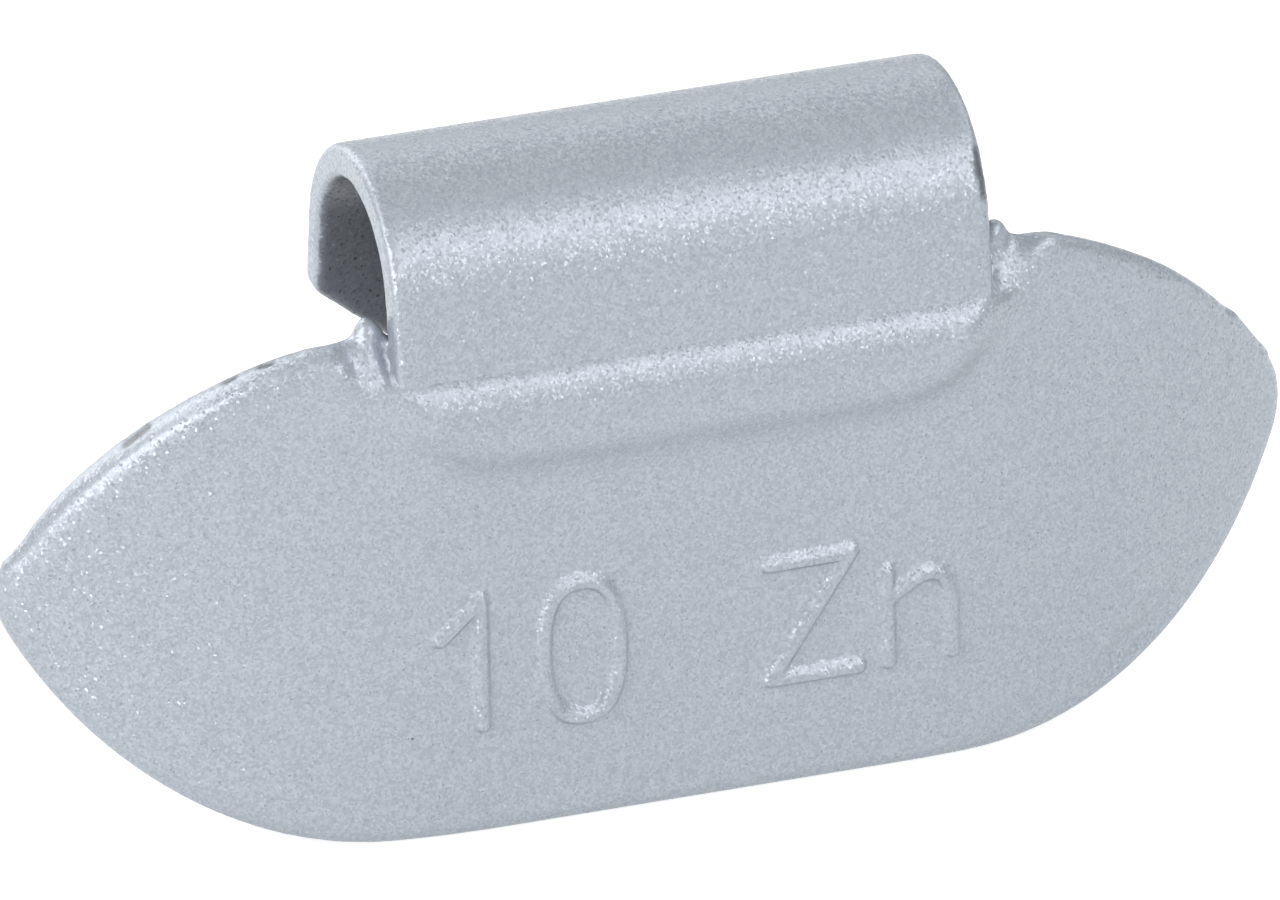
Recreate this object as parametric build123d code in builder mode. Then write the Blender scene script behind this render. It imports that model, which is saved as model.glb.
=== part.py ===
"""Clip-on wheel balance weight: a die-cast zinc body with a bent spring-steel clip cast into it.

Millimetres. X runs along the weight, Y from the visible front to the tyre side, Z up.
The origin is the seat of the rim flange's lip: the centre of the clip's arch, at mid length.
"""
import os
from math import cos, radians, sin, sqrt, tan

from build123d import *

# Clip: one strip bent into a hook over the flange's lip, flared at both ends
flange_gap = 4.82
clip_thickness = 0.85
clip_width = 15.2
clip_edge_bevel = 0.12
leg_flare_angle = 9.0
leg_bend_drop = 1.5
leg_bend_radius = 1.5
leg_return_angle = 14.0
leg_drop = 6.8
leg_corner_radius = 1.0
key_hole_diameter = 2.4
key_hole_spacing = 8.0
key_hole_drop = 4.4
tongue_flare_angle = 6.0
tongue_length = 3.85
tongue_taper_length = 2.0
tongue_taper_width = 2.4
tongue_corner_radius = 0.35

# Casting, front view: a flat foot, two lower flanks that leave it smoothly, two tips, two upper flanks
foot_drop = 13.36
lower_flank_radius_left = 9.35
lower_flank_radius_right = 10.9
tip_half_length = 16.76
tip_drop = 7.0
tip_radius = 1.9
upper_flank_radius = 15.4
shoulder_half_length = 8.62
shoulder_drop = 0.42

# Casting, plan: a flat middle that sweeps back to the tips, with the whole front leaning back to the top
front_cover = 1.0
front_lean_angle = 4.0
flat_half_length = 5.3
plan_radius = 17.75
plan_turn_angle = 60.0
rim_radius = 0.5

# Casting, section: a back that lies in the curl of the flange
body_depth = 5.03
back_radius = 11.6
back_curve_drop = 8.33

# Collar: the raised pad round the foot of the clip, and the slope that the clip comes out of
collar_cover = 0.5
collar_half_length = 7.15
collar_drop = 3.2
collar_corner_radius = 2.2
collar_depth = 1.0
collar_draft_angle = 58.0
collar_edge_radius = 0.6
slope_angle = 50.0
slope_drop = 1.35
slope_knee_radius = 1.7

# Valleys: between the shoulders the zinc is cut back to the slope, with ends that lean outwards
valley_half_length = 8.5
valley_draft_angle = 30.0

# Ears: a round rib beside the clip and a round-topped lug behind it, at each end of the clip
ear_radius = 0.36
rib_angle = 54.0
rib_length = 1.1
rib_stand = 0.14
rib_drop = 0.8
lug_height = -0.06
lug_setback = 0.97

# Gate: the trimmed stub of the runner, on the right upper flank
gate_angle = 39.5
gate_length = 1.9
gate_stand = 0.04

# Places worked out from the sizes above
arch_inner_radius = flange_gap / 2
arch_outer_radius = arch_inner_radius + clip_thickness
clip_half_width = clip_width / 2
face_y = -(arch_outer_radius + front_cover)
back_y = face_y + body_depth
ear_x = clip_half_width + ear_radius
ear_y = -arch_outer_radius + lug_setback
reach = tip_half_length + body_depth
stock_depth = 2 * body_depth
stock_height = 2 * foot_drop
front_lean = radians(front_lean_angle)
front_upright = Axis((0, face_y, -foot_drop), (0, sin(front_lean), cos(front_lean)))


def leg_front(drop):
    """Depth of the clip's front, below the arch, at a drop from the arch's centre."""
    return -(arch_outer_radius / cos(radians(leg_flare_angle)) + drop * tan(radians(leg_flare_angle)))


def valley_floor(depth):
    """Height, at a depth, of the slope that the ribs stand on."""
    floor_at_lug = (ear_radius - rib_stand) / cos(radians(rib_angle)) - rib_drop
    return floor_at_lug + (depth - ear_y) * tan(radians(rib_angle))


def foot_end(flank_radius):
    """Distance from mid length to where a flank of this radius, on its way to the tip, leaves the foot."""
    rise = foot_drop - tip_drop
    return tip_half_length - sqrt(rise * (2 * flank_radius - rise))


with BuildPart() as rim_clip:
    # The bend, drawn along its outer face from the foot of the leg to the end of the tongue
    with BuildSketch(Plane.YZ) as clip_section:
        with BuildLine() as clip_bend:
            leg_run = leg_drop - leg_bend_drop
            leg_foot = (leg_front(leg_bend_drop) + leg_run * tan(radians(leg_return_angle)), -leg_drop)
            leg_bend = (leg_front(leg_bend_drop), -leg_bend_drop)
            arch_start = Vector(-arch_outer_radius, 0).rotate(Axis.Z, -leg_flare_angle)
            leg = FilletPolyline(leg_foot, leg_bend, arch_start, radius=leg_bend_radius)
            arch_angle = 180 - leg_flare_angle - tongue_flare_angle
            arch = JernArc(leg @ 1, leg % 1, arch_outer_radius, -arch_angle)
            tongue = Line(arch @ 1, arch @ 1 + (arch % 1) * tongue_length)
            offset(amount=clip_thickness, side=Side.RIGHT)
        make_face()
    extrude(amount=clip_half_width, both=True)

    # The leg's buried corners are round, and the tongue narrows to its tip
    leg_end = rim_clip.faces().sort_by(Axis.Z)[0]
    leg_corners = leg_end.edges().filter_by(Axis.X, reverse=True)
    through_leg = Axis((0, 0, 0), leg_corners[0] % 0)
    fillet(leg_corners, radius=leg_corner_radius)
    tongue_tip = rim_clip.faces().filter_by(lambda f: f.center().Y > 0).sort_by(Axis.Z)[0]
    tip_corners = tongue_tip.edges().filter_by(Axis.X, reverse=True)
    through_tongue = Axis((0, 0, 0), tip_corners[0] % 0)
    chamfer(tip_corners, tongue_taper_width, tongue_taper_length, reference=tongue_tip)
    fillet(rim_clip.edges().filter_by(through_tongue), radius=tongue_corner_radius)

    # The sheared edge of the strip is bevelled all the way round, on both faces
    strip_edges = rim_clip.edges().filter_by(through_leg, reverse=True)
    strip_edges = strip_edges.filter_by(through_tongue, reverse=True)
    chamfer(strip_edges, length=clip_edge_bevel)

    # Two holes in the buried leg let the zinc run through and key it
    with BuildSketch(Plane.XZ) as key_holes:
        with Locations((0, -key_hole_drop)):
            with GridLocations(key_hole_spacing, 0, 2, 1):
                Circle(key_hole_diameter / 2)
    extrude(amount=-face_y, mode=Mode.SUBTRACT)

# Plan of the casting: the front sweeps back from the flat middle to both tips
with BuildSketch(Plane(front_upright.position, x_dir=(1, 0, 0), z_dir=front_upright.direction)) as plan:
    with BuildLine():
        flat = Line((0, 0), (flat_half_length, 0))
        sweep_back = JernArc(flat @ 1, flat % 1, plan_radius, plan_turn_angle)
        Polyline(sweep_back @ 1, (reach, stock_depth), (0, stock_depth))
        mirror(about=Plane.YZ)
    make_face()

# Front view of the casting
with BuildSketch(Plane.XZ.offset(-face_y)) as front_view:
    with BuildLine():
        foot_left = -foot_end(lower_flank_radius_left)
        foot_right = foot_end(lower_flank_radius_right)
        foot = Line((foot_left, -foot_drop), (foot_right, -foot_drop))
        right_tip = Vector(tip_half_length, -tip_drop)
        left_tip = Vector(-tip_half_length, -tip_drop)
        right_shoulder = Vector(shoulder_half_length, -shoulder_drop)
        left_shoulder = Vector(-shoulder_half_length, -shoulder_drop)
        RadiusArc(foot @ 1, right_tip, -lower_flank_radius_right)
        right_flank = RadiusArc(right_tip, right_shoulder, -upper_flank_radius)
        Line(right_shoulder, left_shoulder)
        RadiusArc(left_shoulder, left_tip, -upper_flank_radius)
        RadiusArc(left_tip, foot @ 0, -lower_flank_radius_left)
    make_face()
    corners = front_view.vertices().sort_by(Axis.X)
    fillet([corners[0], corners[-1]], radius=tip_radius)

# Section of the cut above the collar: a steep slope with a round knee, up to where the clip comes out,
# then into the middle of the strip, and from there up a floor that the ribs stand on
clip_root = Vector(leg_front(slope_drop), -slope_drop)
collar_y = clip_root.X - collar_cover
mid_strip_y = clip_root.X + clip_thickness / 2
with BuildSketch(Plane.YZ) as ramp:
    with BuildLine():
        knee = (collar_y, clip_root.Y - collar_cover * tan(radians(slope_angle)))
        Polyline(
            (collar_y, -collar_drop),
            knee,
            clip_root,
            (mid_strip_y, valley_floor(mid_strip_y)),
            (back_y, valley_floor(back_y)),
            (back_y, foot_drop),
            (collar_y - collar_cover, foot_drop),
            (collar_y - collar_cover, -collar_drop),
            close=True,
        )
    make_face()
    fillet(ramp.vertices().sort_by_distance(knee)[0], radius=slope_knee_radius)

with BuildPart() as valleys:
    # The same cut, between two ends that lean outwards
    extrude(ramp.sketch, amount=reach, both=True)
    with BuildSketch(Plane.XZ) as valley_front:
        end_lean = tan(radians(valley_draft_angle))
        low_half = valley_half_length - (collar_drop - slope_drop) * end_lean
        high_half = valley_half_length + (foot_drop + slope_drop) * end_lean
        Polygon(
            (-low_half, -collar_drop),
            (low_half, -collar_drop),
            (high_half, foot_drop),
            (-high_half, foot_drop),
            align=None,
        )
    extrude(amount=stock_depth, both=True, mode=Mode.INTERSECT)

with BuildPart() as collar:
    # A pad with drafted sides and a round front edge
    with BuildSketch(Plane.XZ.offset(-collar_y)) as collar_front:
        with Locations((0, -collar_drop)):
            Rectangle(2 * collar_half_length, collar_drop, align=(Align.CENTER, Align.MIN))
        fillet(collar_front.vertices().group_by(Axis.Y)[0], radius=collar_corner_radius)
    extrude(amount=-collar_depth, taper=-collar_draft_angle)
    pad_face = collar.faces().sort_by(Axis.Y)[0]
    fillet(pad_face.edges(), radius=collar_edge_radius)
    extrude(ramp.sketch, amount=reach, both=True, mode=Mode.SUBTRACT)

with BuildPart() as ears:
    # A rib that climbs beside the clip, and an upright lug with a round head where the rib ends
    rib_direction = Vector(0, cos(radians(rib_angle)), sin(radians(rib_angle)))
    rib_head = Vector(ear_x, ear_y, -rib_drop)
    with BuildSketch(Plane(rib_head, z_dir=-rib_direction)):
        Circle(ear_radius)
    extrude(amount=rib_length)
    with Locations(rib_head - rib_direction * rib_length):
        Sphere(ear_radius)
    with Locations(rib_head):
        Cylinder(ear_radius, 2 * (lug_height - ear_radius - rib_head.Z))
    with Locations((ear_x, ear_y, lug_height - ear_radius)):
        Sphere(ear_radius)
    mirror(about=Plane.YZ)

with BuildPart() as gate_stub:
    # Cut off flat, a little proud of the right upper flank
    with BuildSketch(Plane.XZ.offset(-face_y)):
        with Locations(right_flank.arc_center):
            with PolarLocations(upper_flank_radius + gate_stand, 1, start_angle=gate_angle):
                Rectangle(rim_radius, gate_length, align=(Align.MAX, Align.CENTER))
    extrude(amount=-stock_depth)
    extrude(plan.sketch, amount=stock_height, both=True, mode=Mode.INTERSECT)

with BuildPart() as zinc_body:
    extrude(front_view.sketch, amount=-stock_depth)

    # The front sweeps back to the tips and leans back to the top, and its edge is round
    extrude(plan.sketch, amount=stock_height, both=True, mode=Mode.INTERSECT)
    front_rim = zinc_body.edges().filter_by(lambda e: e.center().Y < back_y)
    front_rim = front_rim.filter_by(Axis.Y, reverse=True).filter_by(front_upright, reverse=True)
    fillet(front_rim, radius=rim_radius)

    add(valleys.part, mode=Mode.SUBTRACT)
    add(collar.part)
    add(gate_stub.part)

    # Section: the back follows the curl of the flange
    with BuildSketch(Plane.YZ) as section:
        with Locations((back_y - back_radius, -back_curve_drop)):
            Circle(back_radius)
    extrude(amount=reach, both=True, mode=Mode.INTERSECT)

    add(ears.part)

    # The casting closes round the buried leg
    add(rim_clip.part, mode=Mode.SUBTRACT)

os.makedirs("parts", exist_ok=True)
rim_clip.part.label = "rim_clip"
export_step(rim_clip.part, "parts/rim_clip.step")
zinc_body.part.label = "zinc_body"
export_step(zinc_body.part, "parts/zinc_body.step")
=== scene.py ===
"""Looks of the clip-on wheel balance weight: a coated zinc casting and the coated steel clip in it."""
import math

import bmesh
import bpy
from mathutils import Matrix, Vector


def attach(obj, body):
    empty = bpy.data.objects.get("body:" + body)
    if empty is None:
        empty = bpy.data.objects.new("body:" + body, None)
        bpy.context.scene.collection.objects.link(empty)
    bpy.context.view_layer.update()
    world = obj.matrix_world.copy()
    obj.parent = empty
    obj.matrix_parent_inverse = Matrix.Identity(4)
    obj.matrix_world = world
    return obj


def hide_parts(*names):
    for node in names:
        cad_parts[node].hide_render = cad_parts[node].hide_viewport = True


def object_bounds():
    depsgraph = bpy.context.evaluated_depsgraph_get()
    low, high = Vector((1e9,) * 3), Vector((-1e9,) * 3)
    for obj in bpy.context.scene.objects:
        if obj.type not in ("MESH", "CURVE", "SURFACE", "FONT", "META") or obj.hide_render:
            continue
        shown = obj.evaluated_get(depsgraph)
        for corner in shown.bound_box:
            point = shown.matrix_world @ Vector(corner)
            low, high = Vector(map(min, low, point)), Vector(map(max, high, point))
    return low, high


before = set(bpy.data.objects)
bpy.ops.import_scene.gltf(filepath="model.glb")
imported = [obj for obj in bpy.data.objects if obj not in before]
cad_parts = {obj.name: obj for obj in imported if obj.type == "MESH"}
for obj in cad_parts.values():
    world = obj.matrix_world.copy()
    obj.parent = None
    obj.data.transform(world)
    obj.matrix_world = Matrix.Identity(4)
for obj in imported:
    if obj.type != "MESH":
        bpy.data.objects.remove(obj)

cad_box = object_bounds()
scene = bpy.context.scene
MM = 0.001


# Helpers
def linear(code):
    """Linear RGBA of an sRGB hex colour."""
    channels = [int(code[i:i + 2], 16) / 255 for i in (1, 3, 5)]
    return [c / 12.92 if c <= 0.04045 else ((c + 0.055) / 1.055) ** 2.4 for c in channels] + [1.0]


def clamped(value):
    """The value, held between 0 and 1."""
    return min(1.0, max(0.0, value))


def node(tree, kind, inputs=(), **settings):
    """Add a node with its settings; inputs maps a socket to a value or to the output that feeds it."""
    made = tree.nodes.new(kind)
    for name, value in settings.items():
        setattr(made, name, value)
    for socket, value in dict(inputs).items():
        if isinstance(value, bpy.types.NodeSocket):
            tree.links.new(value, made.inputs[socket])
        else:
            made.inputs[socket].default_value = value
    return made


def new_object(name, data):
    """An object in the scene that holds a mesh, a camera or a lamp."""
    made = bpy.data.objects.new(name, data)
    scene.collection.objects.link(made)
    return made


# Camera: the photograph's long lens, from the left and above
VIEW_AZIMUTH = math.radians(19.9)
VIEW_ELEVATION = math.radians(26.1)
VIEW_DISTANCE = 0.58
VIEW_LENS = 675.3
VIEW_SENSOR = 36
VIEW_CLIP_START = 0.01
AIM_FROM_FOOT_RIGHT = -1.639 * MM
AIM_FROM_FOOT_UP = 8.297 * MM
FOOT_FRONT = Vector((0, -4.19, -13.17)) * MM

sin_a, cos_a = math.sin(VIEW_AZIMUTH), math.cos(VIEW_AZIMUTH)
sin_e, cos_e = math.sin(VIEW_ELEVATION), math.cos(VIEW_ELEVATION)
view_right = Vector((cos_a, -sin_a, 0))
view_up = Vector((sin_a * sin_e, cos_a * sin_e, cos_e))
view_back = Vector((-sin_a * cos_e, -cos_a * cos_e, sin_e))
aim = FOOT_FRONT + view_right * AIM_FROM_FOOT_RIGHT + view_up * AIM_FROM_FOOT_UP

camera_data = bpy.data.cameras.new("photo_camera")
camera_data.lens = VIEW_LENS
camera_data.sensor_width = VIEW_SENSOR
camera_data.clip_start = VIEW_CLIP_START
camera = new_object("photo_camera", camera_data)
turn = Matrix((view_right, view_up, view_back)).transposed()
camera.matrix_world = Matrix.Translation(aim + view_back * VIEW_DISTANCE) @ turn.to_4x4()
scene.camera = camera

# Studio: soft boxes, a pale room and a white floor
# Soft boxes: azimuth from the front to the right and elevation in degrees, distance, width and height in
# metres, and power in watts
SOFT_BOXES = {
    "front_box": (15, 39, 0.5, 0.6, 0.1, 0.6),
    "front_fill": (15, 19.5, 0.5, 0.6, 0.2, 0.32),
    "key_box": (50, 46, 0.5, 0.12, 0.12, 0.18),
    "right_box": (103, 42, 0.6, 0.35, 0.35, 0.31),
    "left_box": (-72, 20, 0.5, 0.35, 0.3, 1.2),
    "side_box": (-126, 45, 0.6, 0.5, 0.3, 0.5),
    "rim_box": (-160, 18, 0.6, 0.32, 0.38, 0.6),
    "back_box": (-170, 38, 0.6, 0.8, 0.5, 0.69),
}
LAMP_AIM = Vector((0, 0, -6 * MM))
ROOM_LEFT = 0.58
ROOM_RIGHT = 0.41
WHITE = "#ffffff"
PAPER_GREY = "#b4b4b4"
PAPER_GLOW = 0.8
FLOOR_HALF = 3.0

for name, (azimuth, elevation, distance, width, height, power) in SOFT_BOXES.items():
    a, e = math.radians(azimuth), math.radians(elevation)
    away = Vector((math.sin(a) * math.cos(e), -math.cos(a) * math.cos(e), math.sin(e)))
    lamp = bpy.data.lights.new(name, "AREA")
    lamp.shape = "RECTANGLE"
    lamp.size = width
    lamp.size_y = height
    lamp.energy = power
    soft_box = new_object(name, lamp)
    soft_box.location = LAMP_AIM + away * distance
    soft_box.rotation_euler = away.to_track_quat("Z", "Y").to_euler()

world = bpy.data.worlds.new("studio_room")
scene.world = world
world.use_nodes = True
room = world.node_tree
room.nodes.clear()
toward = node(room, "ShaderNodeTexCoord").outputs["Generated"]
to_right = node(room, "ShaderNodeSeparateXYZ", {0: toward}).outputs["X"]
level = node(room, "ShaderNodeMapRange", {
    "Value": to_right, "From Min": -1.0, "From Max": 1.0, "To Min": ROOM_LEFT, "To Max": ROOM_RIGHT})
background = node(room, "ShaderNodeBackground", {"Color": linear(WHITE), "Strength": level.outputs[0]})
node(room, "ShaderNodeOutputWorld", {"Surface": background.outputs[0]})

# White paper: matt, and so strongly lit that the eye and the glossy coat see it white
floor_material = bpy.data.materials.new("white_paper_sweep")
floor_material.use_nodes = True
paper = floor_material.node_tree
paper.nodes.clear()
path = node(paper, "ShaderNodeLightPath").outputs
seen = node(paper, "ShaderNodeMath", {0: path["Is Camera Ray"], 1: path["Is Glossy Ray"]},
            operation="MAXIMUM")
seen = node(paper, "ShaderNodeMath", {0: seen.outputs[0], 1: path["Is Transmission Ray"]},
            operation="MAXIMUM")
glow = node(paper, "ShaderNodeMath", {0: seen.outputs[0], 1: PAPER_GLOW}, operation="MULTIPLY")
paper_shader = node(paper, "ShaderNodeBsdfPrincipled", {
    "Base Color": linear(PAPER_GREY), "Roughness": 1.0, "Specular IOR Level": 0.0,
    "Emission Color": linear(WHITE), "Emission Strength": glow.outputs[0]})
node(paper, "ShaderNodeOutputMaterial", {"Surface": paper_shader.outputs[0]})

floor_z = cad_box[0][2]
floor_sides = [(-FLOOR_HALF, -FLOOR_HALF), (FLOOR_HALF, -FLOOR_HALF),
               (FLOOR_HALF, FLOOR_HALF), (-FLOOR_HALF, FLOOR_HALF)]
floor_mesh = bpy.data.meshes.new("paper_floor")
floor_mesh.from_pydata([(x, y, floor_z) for x, y in floor_sides], [], [(0, 1, 2, 3)])
floor_mesh.materials.append(floor_material)
new_object("paper_floor", floor_mesh)

# Finish of both pieces
# Silver powder coat: pale grey-blue binder full of aluminium flake, sprayed on and stoved. The eye sees
# an even satin grey, fine sparkle where flakes face the light, and here and there a dark speck. Inside a
# hook a darker grey is painted in as shade. Knocks chip the coat off at edges. Real flakes are finer:
# they are drawn as coarse as they need to show in the render.
FLAKE_SIZE = 0.06 * MM
FLAKE_TILT = 0.16
FLAKE_MIDDLE = (0.5, 0.5, 0.5)
SPARKLE_TILT = 0.55
SPARKLE_POWER = 5
SPECK_SPACING = 3.6 * MM
SPECK_RADIUS = 0.045 * MM
SPECK_CORE = 0.6
COAT_DARK = "#a3abb5"
COAT_LIGHT = "#bbc2cb"
SPECK_GREY = "#6d7279"
# Painted shade: the darker grey mixed in inside the clip's hook
HOOK_SHADE_GREY = "#8b8d91"
BARE_GREY = "#70747a"
COAT_METALLIC = 0.4
ROUGH_FLAKE = 0.4
SMOOTH_FLAKE = 0.27
PAINTED_HOOK_SHADE = "thin_coat"
BARE_METAL = "bare_metal"
# Sockets of a Mix node that mixes colours
MIX_FIRST = 6
MIX_SECOND = 7
MIXED = 2


def silver_powder_coat(name):
    """The coat as a material; one attribute of a mesh says where shade is painted darker inside a hook,
    another where the coat is gone.
    """
    made = bpy.data.materials.new(name)
    made.use_nodes = True
    tree = made.node_tree
    tree.nodes.clear()
    place = node(tree, "ShaderNodeTexCoord").outputs["Object"]
    flakes = node(tree, "ShaderNodeTexVoronoi", {"Vector": place, "Scale": 1 / FLAKE_SIZE})
    flake = node(tree, "ShaderNodeSeparateColor", {0: flakes.outputs["Color"]}).outputs
    steep = node(tree, "ShaderNodeMath", {0: flake["Blue"], 1: SPARKLE_POWER}, operation="POWER")
    steep = node(tree, "ShaderNodeMapRange", {
        "Value": steep.outputs[0], "To Min": FLAKE_TILT, "To Max": SPARKLE_TILT})
    tilt = node(tree, "ShaderNodeVectorMath", {0: flakes.outputs["Color"], 1: FLAKE_MIDDLE},
                operation="SUBTRACT")
    tilt = node(tree, "ShaderNodeVectorMath", {0: tilt.outputs[0], "Scale": steep.outputs[0]},
                operation="SCALE")
    facing = node(tree, "ShaderNodeNewGeometry").outputs["Normal"]
    tilted = node(tree, "ShaderNodeVectorMath", {0: facing, 1: tilt.outputs[0]}, operation="ADD")
    tilted = node(tree, "ShaderNodeVectorMath", {0: tilted.outputs[0]}, operation="NORMALIZE")
    gloss = node(tree, "ShaderNodeMapRange", {
        "Value": flake["Blue"], "To Min": ROUGH_FLAKE, "To Max": SMOOTH_FLAKE})

    specks = node(tree, "ShaderNodeTexVoronoi", {"Vector": place, "Scale": 1 / SPECK_SPACING})
    speck = node(tree, "ShaderNodeMapRange", {
        "Value": specks.outputs["Distance"], "From Min": SPECK_CORE * SPECK_RADIUS / SPECK_SPACING,
        "From Max": SPECK_RADIUS / SPECK_SPACING, "To Min": 1.0, "To Max": 0.0}).outputs[0]
    # This attribute carries the painted shade inside the hook
    hook_shade_share = node(tree, "ShaderNodeAttribute", attribute_name=PAINTED_HOOK_SHADE).outputs["Fac"]
    bare = node(tree, "ShaderNodeAttribute", attribute_name=BARE_METAL).outputs["Fac"]
    colour = linear(COAT_DARK)
    layers = [(flake["Green"], COAT_LIGHT), (speck, SPECK_GREY), (hook_shade_share, HOOK_SHADE_GREY), (bare, BARE_GREY)]
    for share, code in layers:
        mix = {"Factor": share, MIX_FIRST: colour, MIX_SECOND: linear(code)}
        colour = node(tree, "ShaderNodeMix", mix, data_type="RGBA").outputs[MIXED]

    shader = node(tree, "ShaderNodeBsdfPrincipled", {
        "Base Color": colour, "Metallic": COAT_METALLIC, "Roughness": gloss.outputs[0],
        "Normal": tilted.outputs[0]})
    node(tree, "ShaderNodeOutputMaterial", {"Surface": shader.outputs[0]})
    return made


zinc_coat = silver_powder_coat("silver_powder_coat_on_zinc")
steel_coat = silver_powder_coat("silver_powder_coat_on_steel")

# Trees that finish the pieces
# Softening ends at SOFT_END times its reach, and a front is where the normal's y is below FRONT_NORMAL
SOFT_END = 2.0
FRONT_NORMAL = -0.4


def tree_with(name, sizes):
    """An empty Geometry Nodes tree with a geometry input and output and the named inputs in sizes."""
    tree = bpy.data.node_groups.new(name, "GeometryNodeTree")
    tree.interface.new_socket("Geometry", in_out="INPUT", socket_type="NodeSocketGeometry")
    for label, kind in sizes:
        tree.interface.new_socket(label, in_out="INPUT", socket_type="NodeSocket" + kind)
    tree.interface.new_socket("Geometry", in_out="OUTPUT", socket_type="NodeSocketGeometry")
    return tree


def add_tree(piece, tree, **values):
    """Put a tree on a piece, with its inputs set by identifier."""
    modifier = piece.modifiers.new(tree.name, "NODES")
    modifier.node_group = tree
    for item in tree.interface.items_tree:
        label = item.name.lower().replace(" ", "_")
        if item.in_out == "INPUT" and label in values:
            modifier[item.identifier] = values[label]


def distance_to_lines(tree, lines):
    """How far a point is, seen from the front, from the nearest of the lines."""
    shown = node(tree, "GeometryNodeObjectInfo", {"Object": lines})
    position = node(tree, "GeometryNodeInputPosition").outputs[0]
    place = node(tree, "ShaderNodeSeparateXYZ", {0: position}).outputs
    flat_place = node(tree, "ShaderNodeCombineXYZ", {"X": place["X"], "Z": place["Z"]})
    near = node(tree, "GeometryNodeProximity", {0: shown.outputs["Geometry"]}, target_element="EDGES")
    sample = [s for s in near.inputs if s.name in ("Sample Position", "Source Position")][0]
    tree.links.new(flat_place.outputs[0], sample)
    return near.outputs["Distance"]


def finish_tree(tree, geometry, finish):
    """The end of every tree: plain geometry with its finish."""
    real = node(tree, "GeometryNodeRealizeInstances", {"Geometry": geometry}).outputs[0]
    coated = node(tree, "GeometryNodeSetMaterial", {"Geometry": real, "Material": finish})
    node(tree, "NodeGroupOutput", {"Geometry": coated.outputs[0]})


def softening_tree():
    """Rounds edges as casting, tumbling and coating do, within reach of lines, and gives the finish."""
    tree = tree_with("soft_edges", [
        ("Lines", "Object"), ("Reach", "Float"), ("Passes", "Int"), ("Finish", "Material")])
    given = node(tree, "NodeGroupInput").outputs
    soft_end = node(tree, "ShaderNodeMath", {0: given["Reach"], 1: SOFT_END}, operation="MULTIPLY")
    weight = node(tree, "ShaderNodeMapRange", {
        "Value": distance_to_lines(tree, given["Lines"]), "From Min": given["Reach"],
        "From Max": soft_end.outputs[0], "To Min": 1.0, "To Max": 0.0})
    blurred = node(tree, "GeometryNodeBlurAttribute", {
        "Iterations": given["Passes"], "Weight": weight.outputs[0]}, data_type="FLOAT_VECTOR")
    value = [s for s in blurred.inputs if s.enabled and s.name == "Value"][0]
    tree.links.new(node(tree, "GeometryNodeInputPosition").outputs[0], value)
    result = [s for s in blurred.outputs if s.enabled][0]
    moved = node(tree, "GeometryNodeSetPosition", {"Geometry": given["Geometry"], "Position": result})
    finish_tree(tree, moved.outputs[0], given["Finish"])
    return tree


def raised_line_tree():
    """Moves the front of a casting along lines, out or in, with a flat top and soft flanks."""
    tree = tree_with("raised_lines", [
        ("Lines", "Object"), ("Rise", "Vector"), ("Half Width", "Float"), ("Flank", "Float"),
        ("Finish", "Material")])
    given = node(tree, "NodeGroupInput").outputs
    outer = node(tree, "ShaderNodeMath", {0: given["Half Width"], 1: given["Flank"]}, operation="ADD")
    share = node(tree, "ShaderNodeMapRange", {
        "Value": distance_to_lines(tree, given["Lines"]), "From Min": given["Half Width"],
        "From Max": outer.outputs[0], "To Min": 1.0, "To Max": 0.0}, interpolation_type="SMOOTHSTEP")
    normal = node(tree, "GeometryNodeInputNormal").outputs[0]
    facing = node(tree, "ShaderNodeSeparateXYZ", {0: normal}).outputs["Y"]
    front = node(tree, "ShaderNodeMath", {0: facing, 1: FRONT_NORMAL}, operation="LESS_THAN")
    offset = node(tree, "ShaderNodeVectorMath", {0: given["Rise"], "Scale": share.outputs[0]},
                  operation="SCALE")
    moved = node(tree, "GeometryNodeSetPosition", {
        "Geometry": given["Geometry"], "Selection": front.outputs[0], "Offset": offset.outputs[0]})
    finish_tree(tree, moved.outputs[0], given["Finish"])
    return tree


soft_edges = softening_tree()
raised_lines = raised_line_tree()

# Lines on the front, in millimetres from left to right and up, that relief and softening follow
# The raised marks are a plain number and a metal's chemical sign
ZERO_CENTRE = (-3.14, -8.80)
ZERO_HALF = (0.97, 1.74)
ZERO_POWER = 2.5
ZERO_POINTS = 64


def zero_outline():
    """A rounded-oblong ring."""
    ring = []
    for i in range(ZERO_POINTS + 1):
        angle = 2 * math.pi * i / ZERO_POINTS
        c, s = math.cos(angle), math.sin(angle)
        x = math.copysign(abs(c) ** (2 / ZERO_POWER), c) * ZERO_HALF[0]
        z = math.copysign(abs(s) ** (2 / ZERO_POWER), s) * ZERO_HALF[1]
        ring.append((ZERO_CENTRE[0] + x, ZERO_CENTRE[1] + z))
    return ring


def mirrored(line):
    """The same line on the other side."""
    return [(-x, z) for x, z in line]


def line_object(name, lines):
    """Lines in the front plane as the edges of one mesh."""
    points, edges = [], []
    for line in lines:
        first = len(points)
        points += [(x, 0, z) for x, z in line]
        edges += [(i, i + 1) for i in range(first, len(points) - 1)]
    mesh = bpy.data.meshes.new(name)
    mesh.from_pydata(points, edges, [])
    return new_object(name, mesh)


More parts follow.
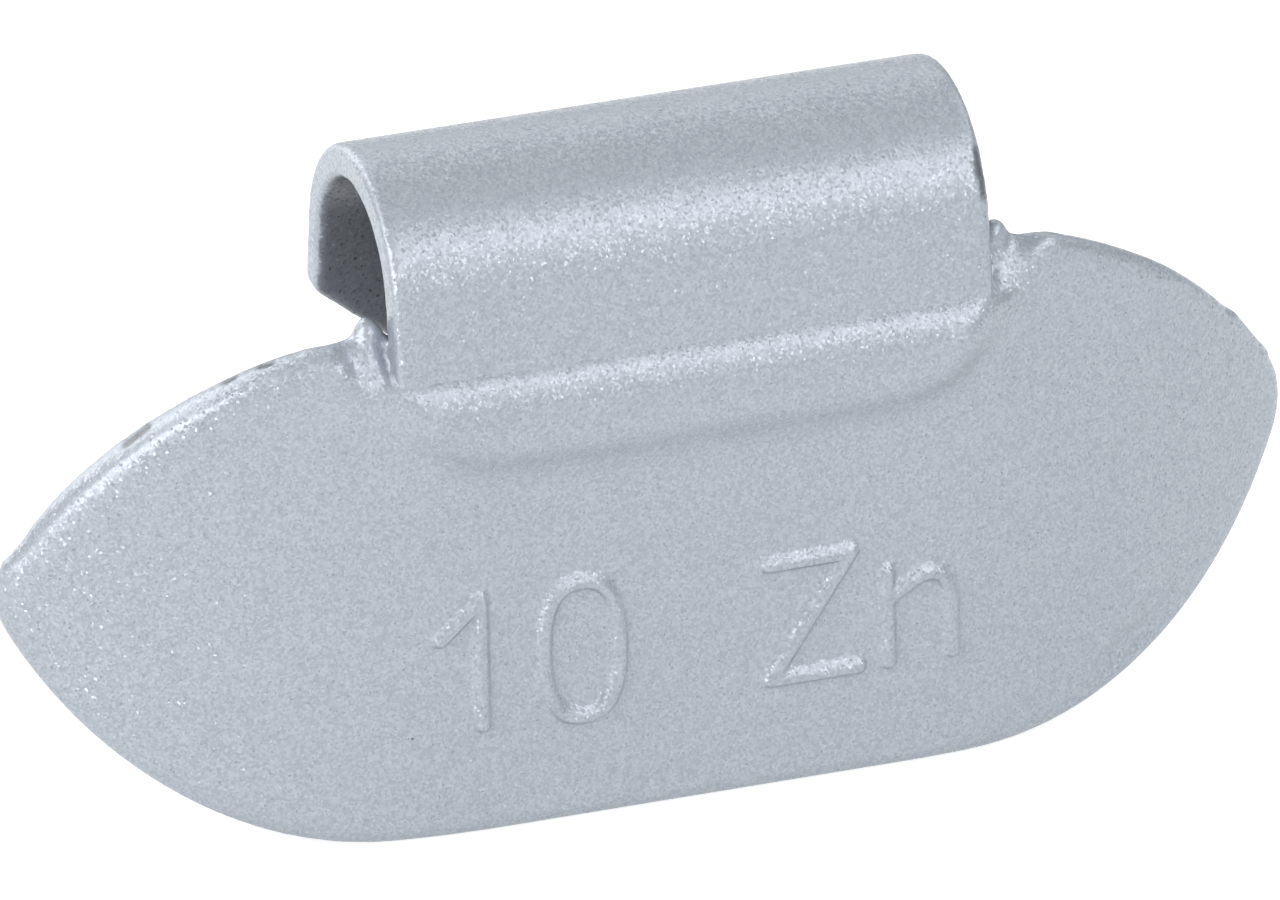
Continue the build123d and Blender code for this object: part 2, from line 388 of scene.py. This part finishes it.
HALF_ROOT = [(4.95, -3.9), (6.43, -3.6), (7.32, -3.0), (8.0, -2.15)]
HALF_ROLL = [(4.95, -3.55), (6.22, -3.21), (6.9, -2.64)]
SCOOP_WALL = [(8.8, -0.75), (8.4, -1.5), (8.1, -2.1)]
LINES = {
    "raised_marks": [
        [(-6.72, -8.02), (-5.7, -7.12), (-5.7, -10.35)],
        zero_outline(),
        [(1.66, -7.42), (3.77, -7.4), (1.66, -10.4), (3.91, -10.4)],
        [(4.69, -8.08), (4.69, -10.4)],
        [(4.69, -8.8), (5.2, -8.48), (5.53, -8.3), (5.83, -8.25), (6.1, -8.37), (6.29, -8.7),
         (6.35, -9.17), (6.35, -10.38)],
    ],
    "handling_dents": [[(10.77, -11.8), (11.9, -11.3)]],
    "die_line": [[(13.6, -4.05), (13.6, -7.14)]],
    "collar_root": [mirrored(HALF_ROOT[::-1]) + HALF_ROOT],
    "collar_roll": [mirrored(HALF_ROLL[::-1]) + HALF_ROLL],
    "scoop_walls": [SCOOP_WALL, mirrored(SCOOP_WALL)],
    "left_ledge": [[(-8.95, -0.4), (-8.75, -1.6)]],
    "left_bead": [[(-8.1, -0.6), (-7.9, -1.4)]],
    "left_rim": [[(-9.7, -0.7), (-10.7, -1.1), (-11.75, -1.65), (-12.8, -2.35), (-13.7, -3.1),
                  (-14.85, -4.3), (-15.75, -5.65)]],
}
drawn = {name: line_object(name, lines) for name, lines in LINES.items()}

# Sizes of the pieces' shaping, in millimetres
WELD = 0.0005
CASTING_VOXEL = 0.12
CLIP_VOXEL = 0.1
CORE_TOP = -0.4
CORE_INSET = 0.04
CORE_RECESS = 0.1
CORE_FRONT_NORMAL = -0.3
JOINT_DROP = -1.5
DIVIDED_NORMAL = -0.5
EDGE_FADE = 1.5
# A chip is whole within CHIP_CORE of its radius and ends at CHIP_END of it
CHIP_DEPTH = 0.04
CHIP_CORE = 2 / 3
CHIP_END = 4 / 3
EVERYWHERE = 100.0


def evaluated_mesh(piece):
    """The piece's mesh with its modifiers worked in and taken off."""
    graph = bpy.context.evaluated_depsgraph_get()
    mesh = bpy.data.meshes.new_from_object(piece.evaluated_get(graph))
    piece.modifiers.clear()
    return mesh


def merged_copy(cad_node):
    """A closed copy of a CAD node's mesh, in millimetres."""
    work = bmesh.new()
    work.from_mesh(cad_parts[cad_node].data)
    bmesh.ops.transform(work, matrix=Matrix.Scale(1 / MM, 4), verts=work.verts)
    bmesh.ops.remove_doubles(work, verts=work.verts, dist=WELD)
    return work


def leg_core():
    """The foot of the clip's leg, a little thinner: casting and coat close round it without a seam."""
    up = (0, 0, 1)
    work = merged_copy("rim_clip")
    whole = work.verts[:] + work.edges[:] + work.faces[:]
    bmesh.ops.bisect_plane(work, geom=whole, plane_co=(0, 0, CORE_TOP), plane_no=up, clear_outer=True)
    tongue = [vertex for vertex in work.verts if vertex.co.y > 0]
    bmesh.ops.delete(work, geom=tongue, context="VERTS")
    bmesh.ops.holes_fill(work, edges=[edge for edge in work.edges if edge.is_boundary])
    bmesh.ops.recalc_face_normals(work, faces=work.faces)
    whole = work.verts[:] + work.edges[:] + work.faces[:]
    bmesh.ops.bisect_plane(work, geom=whole, plane_co=(0, 0, JOINT_DROP), plane_no=up)
    work.normal_update()
    moves = [(vertex, vertex.normal.copy()) for vertex in work.verts]
    for vertex, outward in moves:
        vertex.co -= outward * CORE_INSET
        if vertex.co.z > JOINT_DROP + CORE_INSET and outward.y < CORE_FRONT_NORMAL:
            vertex.co.y += CORE_RECESS
    mesh = bpy.data.meshes.new("leg_core")
    work.to_mesh(mesh)
    work.free()
    return mesh


def fine_copy(cad_node, name, voxel, core=None):
    """A copy of a CAD node in millimetres, grown together with a core, with its mesh divided evenly."""
    work = merged_copy(cad_node)
    if core:
        work.from_mesh(core)
    mesh = bpy.data.meshes.new(name)
    work.to_mesh(mesh)
    work.free()
    made = new_object(name, mesh)
    remesh = made.modifiers.new("even_mesh", "REMESH")
    remesh.mode = "VOXEL"
    remesh.voxel_size = voxel
    made.data = evaluated_mesh(made)
    return made


def relieved(piece, rows, finish):
    """Moves the front along lines; a row has the lines, the rise, half the flat top and the flank."""
    for name, rise, half_width, flank in rows:
        add_tree(piece, raised_lines, lines=drawn[name], rise=rise, half_width=half_width, flank=flank,
                 finish=finish)


def softened(piece, rows, finish):
    """Softens a piece near lines; a row has the lines, the reach and the passes."""
    for name, reach, passes in rows:
        add_tree(piece, soft_edges, lines=drawn[name], reach=reach, passes=passes, finish=finish)


def divided(piece, zones):
    """Halves the faces of the front that lie in the zones, for detail finer than the mesh."""
    work = bmesh.new()
    work.from_mesh(piece.data)
    edges = set()
    for face in work.faces:
        centre = face.calc_center_median()
        inside = any(x0 < centre.x < x1 and z0 < centre.z < z1 for x0, x1, z0, z1 in zones)
        if inside and face.normal.y < DIVIDED_NORMAL:
            edges.update(face.edges)
    bmesh.ops.subdivide_edges(work, edges=list(edges), cuts=1, use_grid_fill=True)
    work.to_mesh(piece.data)
    work.free()


def lifted_edge(piece, edge, depth):
    """Lifts a wing's upper edge; the lift fades below the edge and, within depth, towards the back."""
    for vertex in piece.data.vertices:
        x, y, z = vertex.co
        for (x0, y0, z0, lift0), (x1, y1, z1, lift1) in zip(edge, edge[1:]):
            if x0 <= x < x1:
                share = (x - x0) / (x1 - x0)
                behind = (y - y0 - share * (y1 - y0)) / depth
                below = (z0 + share * (z1 - z0) - z) / EDGE_FADE
                weight = (1 - clamped(behind)) * (1 - clamped(below))
                vertex.co.z += weight * (lift0 + share * (lift1 - lift0))


def chipped(piece, chips):
    """Knocks the coat off, a little sunk; each chip runs from one point to another, with a radius."""
    bare = piece.data.attributes.new(BARE_METAL, "FLOAT", "POINT")
    sunk = []
    for index, vertex in enumerate(piece.data.vertices):
        share = 0.0
        for start, end, radius in chips:
            start, end = Vector(start), Vector(end)
            along = (vertex.co - start).dot(end - start) / (end - start).length_squared
            nearest = start.lerp(end, clamped(along))
            outward = (vertex.co - nearest).length / radius
            share = max(share, clamped((CHIP_END - outward) / (CHIP_END - CHIP_CORE)))
        bare.data[index].value = share
        sunk.append(vertex.co - vertex.normal * CHIP_DEPTH * share)
    for vertex, place in zip(piece.data.vertices, sunk):
        vertex.co = place


def finished(piece, cad_node):
    """Back to metres, smooth, and in the place of its CAD node."""
    piece.data.transform(Matrix.Scale(MM, 4))
    piece.data.polygons.foreach_set("use_smooth", [True] * len(piece.data.polygons))
    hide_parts(cad_node)
    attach(piece, "root")


# Zinc casting with its raised marks
# Upper edges of the front: x, y and z of their points, and how far the casting rises above the plain edge
LEFT_EDGE = [
    (-15.75, -0.28, -5.77, 0.08), (-14.85, -0.81, -4.59, 0.19), (-13.7, -1.39, -3.48, 0.24),
    (-12.8, -1.77, -2.75, 0.26), (-11.75, -2.12, -2.04, 0.26), (-10.7, -2.42, -1.45, 0.25),
    (-9.7, -2.71, -0.97, 0.22), (-8.9, -2.75, -0.55, 0.16), (-8.0, -2.6, -0.2, 0.15),
    (-7.6, -2.6, -0.1, 0.0)]
LEFT_FRONT = [
    (-15.75, -0.28, -5.77, 0.0), (-14.85, -0.81, -4.4, 0.08), (-13.7, -1.39, -3.25, 0.14),
    (-12.8, -1.77, -2.5, 0.15), (-11.75, -2.12, -1.8, 0.15), (-10.7, -2.42, -1.2, 0.13),
    (-9.7, -2.71, -0.75, 0.0)]
RIGHT_EDGE = [
    (7.6, -2.6, -0.1, 0.0), (7.9, -2.6, -0.2, 0.22), (8.5, -2.6, -0.45, 0.28),
    (9.0, -2.75, -0.6, 0.38), (9.73, -2.71, -0.98, 0.43), (10.86, -2.42, -1.53, 0.44),
    (11.81, -2.12, -2.08, 0.43), (12.73, -1.77, -2.7, 0.42), (13.72, -1.39, -3.55, 0.36),
    (14.89, -0.81, -4.42, 0.2), (15.77, -0.28, -5.49, 0.0)]
EDGE_DEPTH = 0.95
CAST_RELIEF = [
    ("collar_roll", (0, -0.18, 0), 0.1, 0.6),
    ("left_ledge", (0, -0.25, 0), 0.12, 0.25),
    ("left_bead", (0, -0.14, 0), 0.05, 0.2)]
CAST_SOFTENING = [
    ("left_rim", 0.4, 8),
    ("scoop_walls", 0.3, 16),
    ("collar_root", 0.5, 25),
    ("collar_root", EVERYWHERE, 3)]
FINE_RELIEF = [
    ("raised_marks", (0, -0.17, -0.08), 0.05, 0.23),
    ("handling_dents", (0, 0.12, 0), 0.05, 0.45),
    ("die_line", (0, -0.03, 0), 0.02, 0.1)]
MARK_ZONE = (-8.0, 7.4, -11.4, -6.3)
DIE_LINE_ZONE = (13.2, 14.0, -7.4, -3.8)
RIM_CHIPS = [
    ((-13.55, -0.87, -3.0), (-13.15, -0.97, -2.66), 0.2),
    ((-11.3, -1.65, -1.41), (-11.15, -1.7, -1.32), 0.13),
    ((-10.55, -1.95, -0.98), (-10.35, -2.05, -0.89), 0.12)]

casting = fine_copy("zinc_body", "zinc_casting", CASTING_VOXEL, leg_core())
lifted_edge(casting, LEFT_EDGE, EVERYWHERE)
lifted_edge(casting, LEFT_FRONT, EDGE_DEPTH)
lifted_edge(casting, RIGHT_EDGE, EDGE_DEPTH)
relieved(casting, CAST_RELIEF, zinc_coat)
softened(casting, CAST_SOFTENING, zinc_coat)
casting.data = evaluated_mesh(casting)
divided(casting, [MARK_ZONE, DIE_LINE_ZONE])
relieved(casting, FINE_RELIEF, zinc_coat)
casting.data = evaluated_mesh(casting)
chipped(casting, RIM_CHIPS)
finished(casting, "zinc_body")

# Steel clip: inside the hook a darker grey is painted in as shade, full within the first sixth of the
# wall from its inner face and gone from a third of the wall
HOOK_INNER = 2.41
HOOK_WALL = 0.85
HOOK_FLARE = 0.12
FULL_SHADE_UNTIL = 1 / 6
NO_SHADE_FROM = 1 / 3
END_NORMAL = 0.6
CLIP_SOFTENING = [("collar_root", EVERYWHERE, 2)]
CLIP_CHIPS = [
    ((7.5, -2.5, 2.12), (7.5, -2.62, 1.95), 0.1),
    ((7.5, -2.72, 1.8), (7.5, -2.82, 1.6), 0.17),
    ((7.52, -2.92, 1.4), (7.52, -3.0, 1.15), 0.12)]

clip = fine_copy("rim_clip", "steel_clip", CLIP_VOXEL)
softened(clip, CLIP_SOFTENING, steel_coat)
clip.data = evaluated_mesh(clip)
# Painted shade inside the hook: a darker grey by depth in the wall, none on the end faces
thin_coat = clip.data.attributes.new(PAINTED_HOOK_SHADE, "FLOAT", "POINT")
for index, vertex in enumerate(clip.data.vertices):
    y, z = vertex.co.y, vertex.co.z
    from_axis = math.hypot(y, max(z, 0)) - HOOK_FLARE * max(-z, 0)
    depth = (from_axis - HOOK_INNER) / HOOK_WALL
    on_end = abs(vertex.normal.x) > END_NORMAL
    shade_share = clamped((NO_SHADE_FROM - depth) / (NO_SHADE_FROM - FULL_SHADE_UNTIL))
    thin_coat.data[index].value = 0.0 if on_end else shade_share
chipped(clip, CLIP_CHIPS)
finished(clip, "rim_clip")

for lines in drawn.values():
    bpy.data.objects.remove(lines)

scene.view_settings.view_transform = "Standard"
